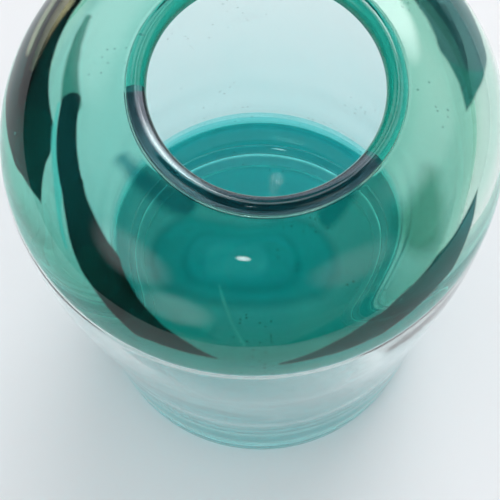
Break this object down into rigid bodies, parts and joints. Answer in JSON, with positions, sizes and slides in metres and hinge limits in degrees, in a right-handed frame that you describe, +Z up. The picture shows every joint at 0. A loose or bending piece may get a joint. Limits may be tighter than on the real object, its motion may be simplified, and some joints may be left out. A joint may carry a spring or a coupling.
{
  "type": "glass vase",
  "caption": "Hand blown art glass vase with a green in-turned shoulder, a rolled lip, a pale tapering body and a thick teal base.",
  "frame": {"origin": "on the resting plane, under the axis of the vase", "axes": "+Z up along the axis of the vase, out of the mouth; X and Y are level"},
  "size_m": [0.18, 0.18, 0.228],
  "materials": {
    "green_glass": "clear sea green glass, fire polished",
    "aqua_glass": "pale clear aqua glass, blown and fire polished",
    "teal_glass": "thick clear teal glass",
    "foot_glass": "clear pale glass, worn satin where it rests"
  },
  "bodies": {
    "root": {"lip": "green_glass", "shoulder": "green_glass", "body": "aqua_glass", "base": "teal_glass", "foot_ring": "foot_glass", "pontil_disc": "teal_glass"}
  },
  "joints": []
}
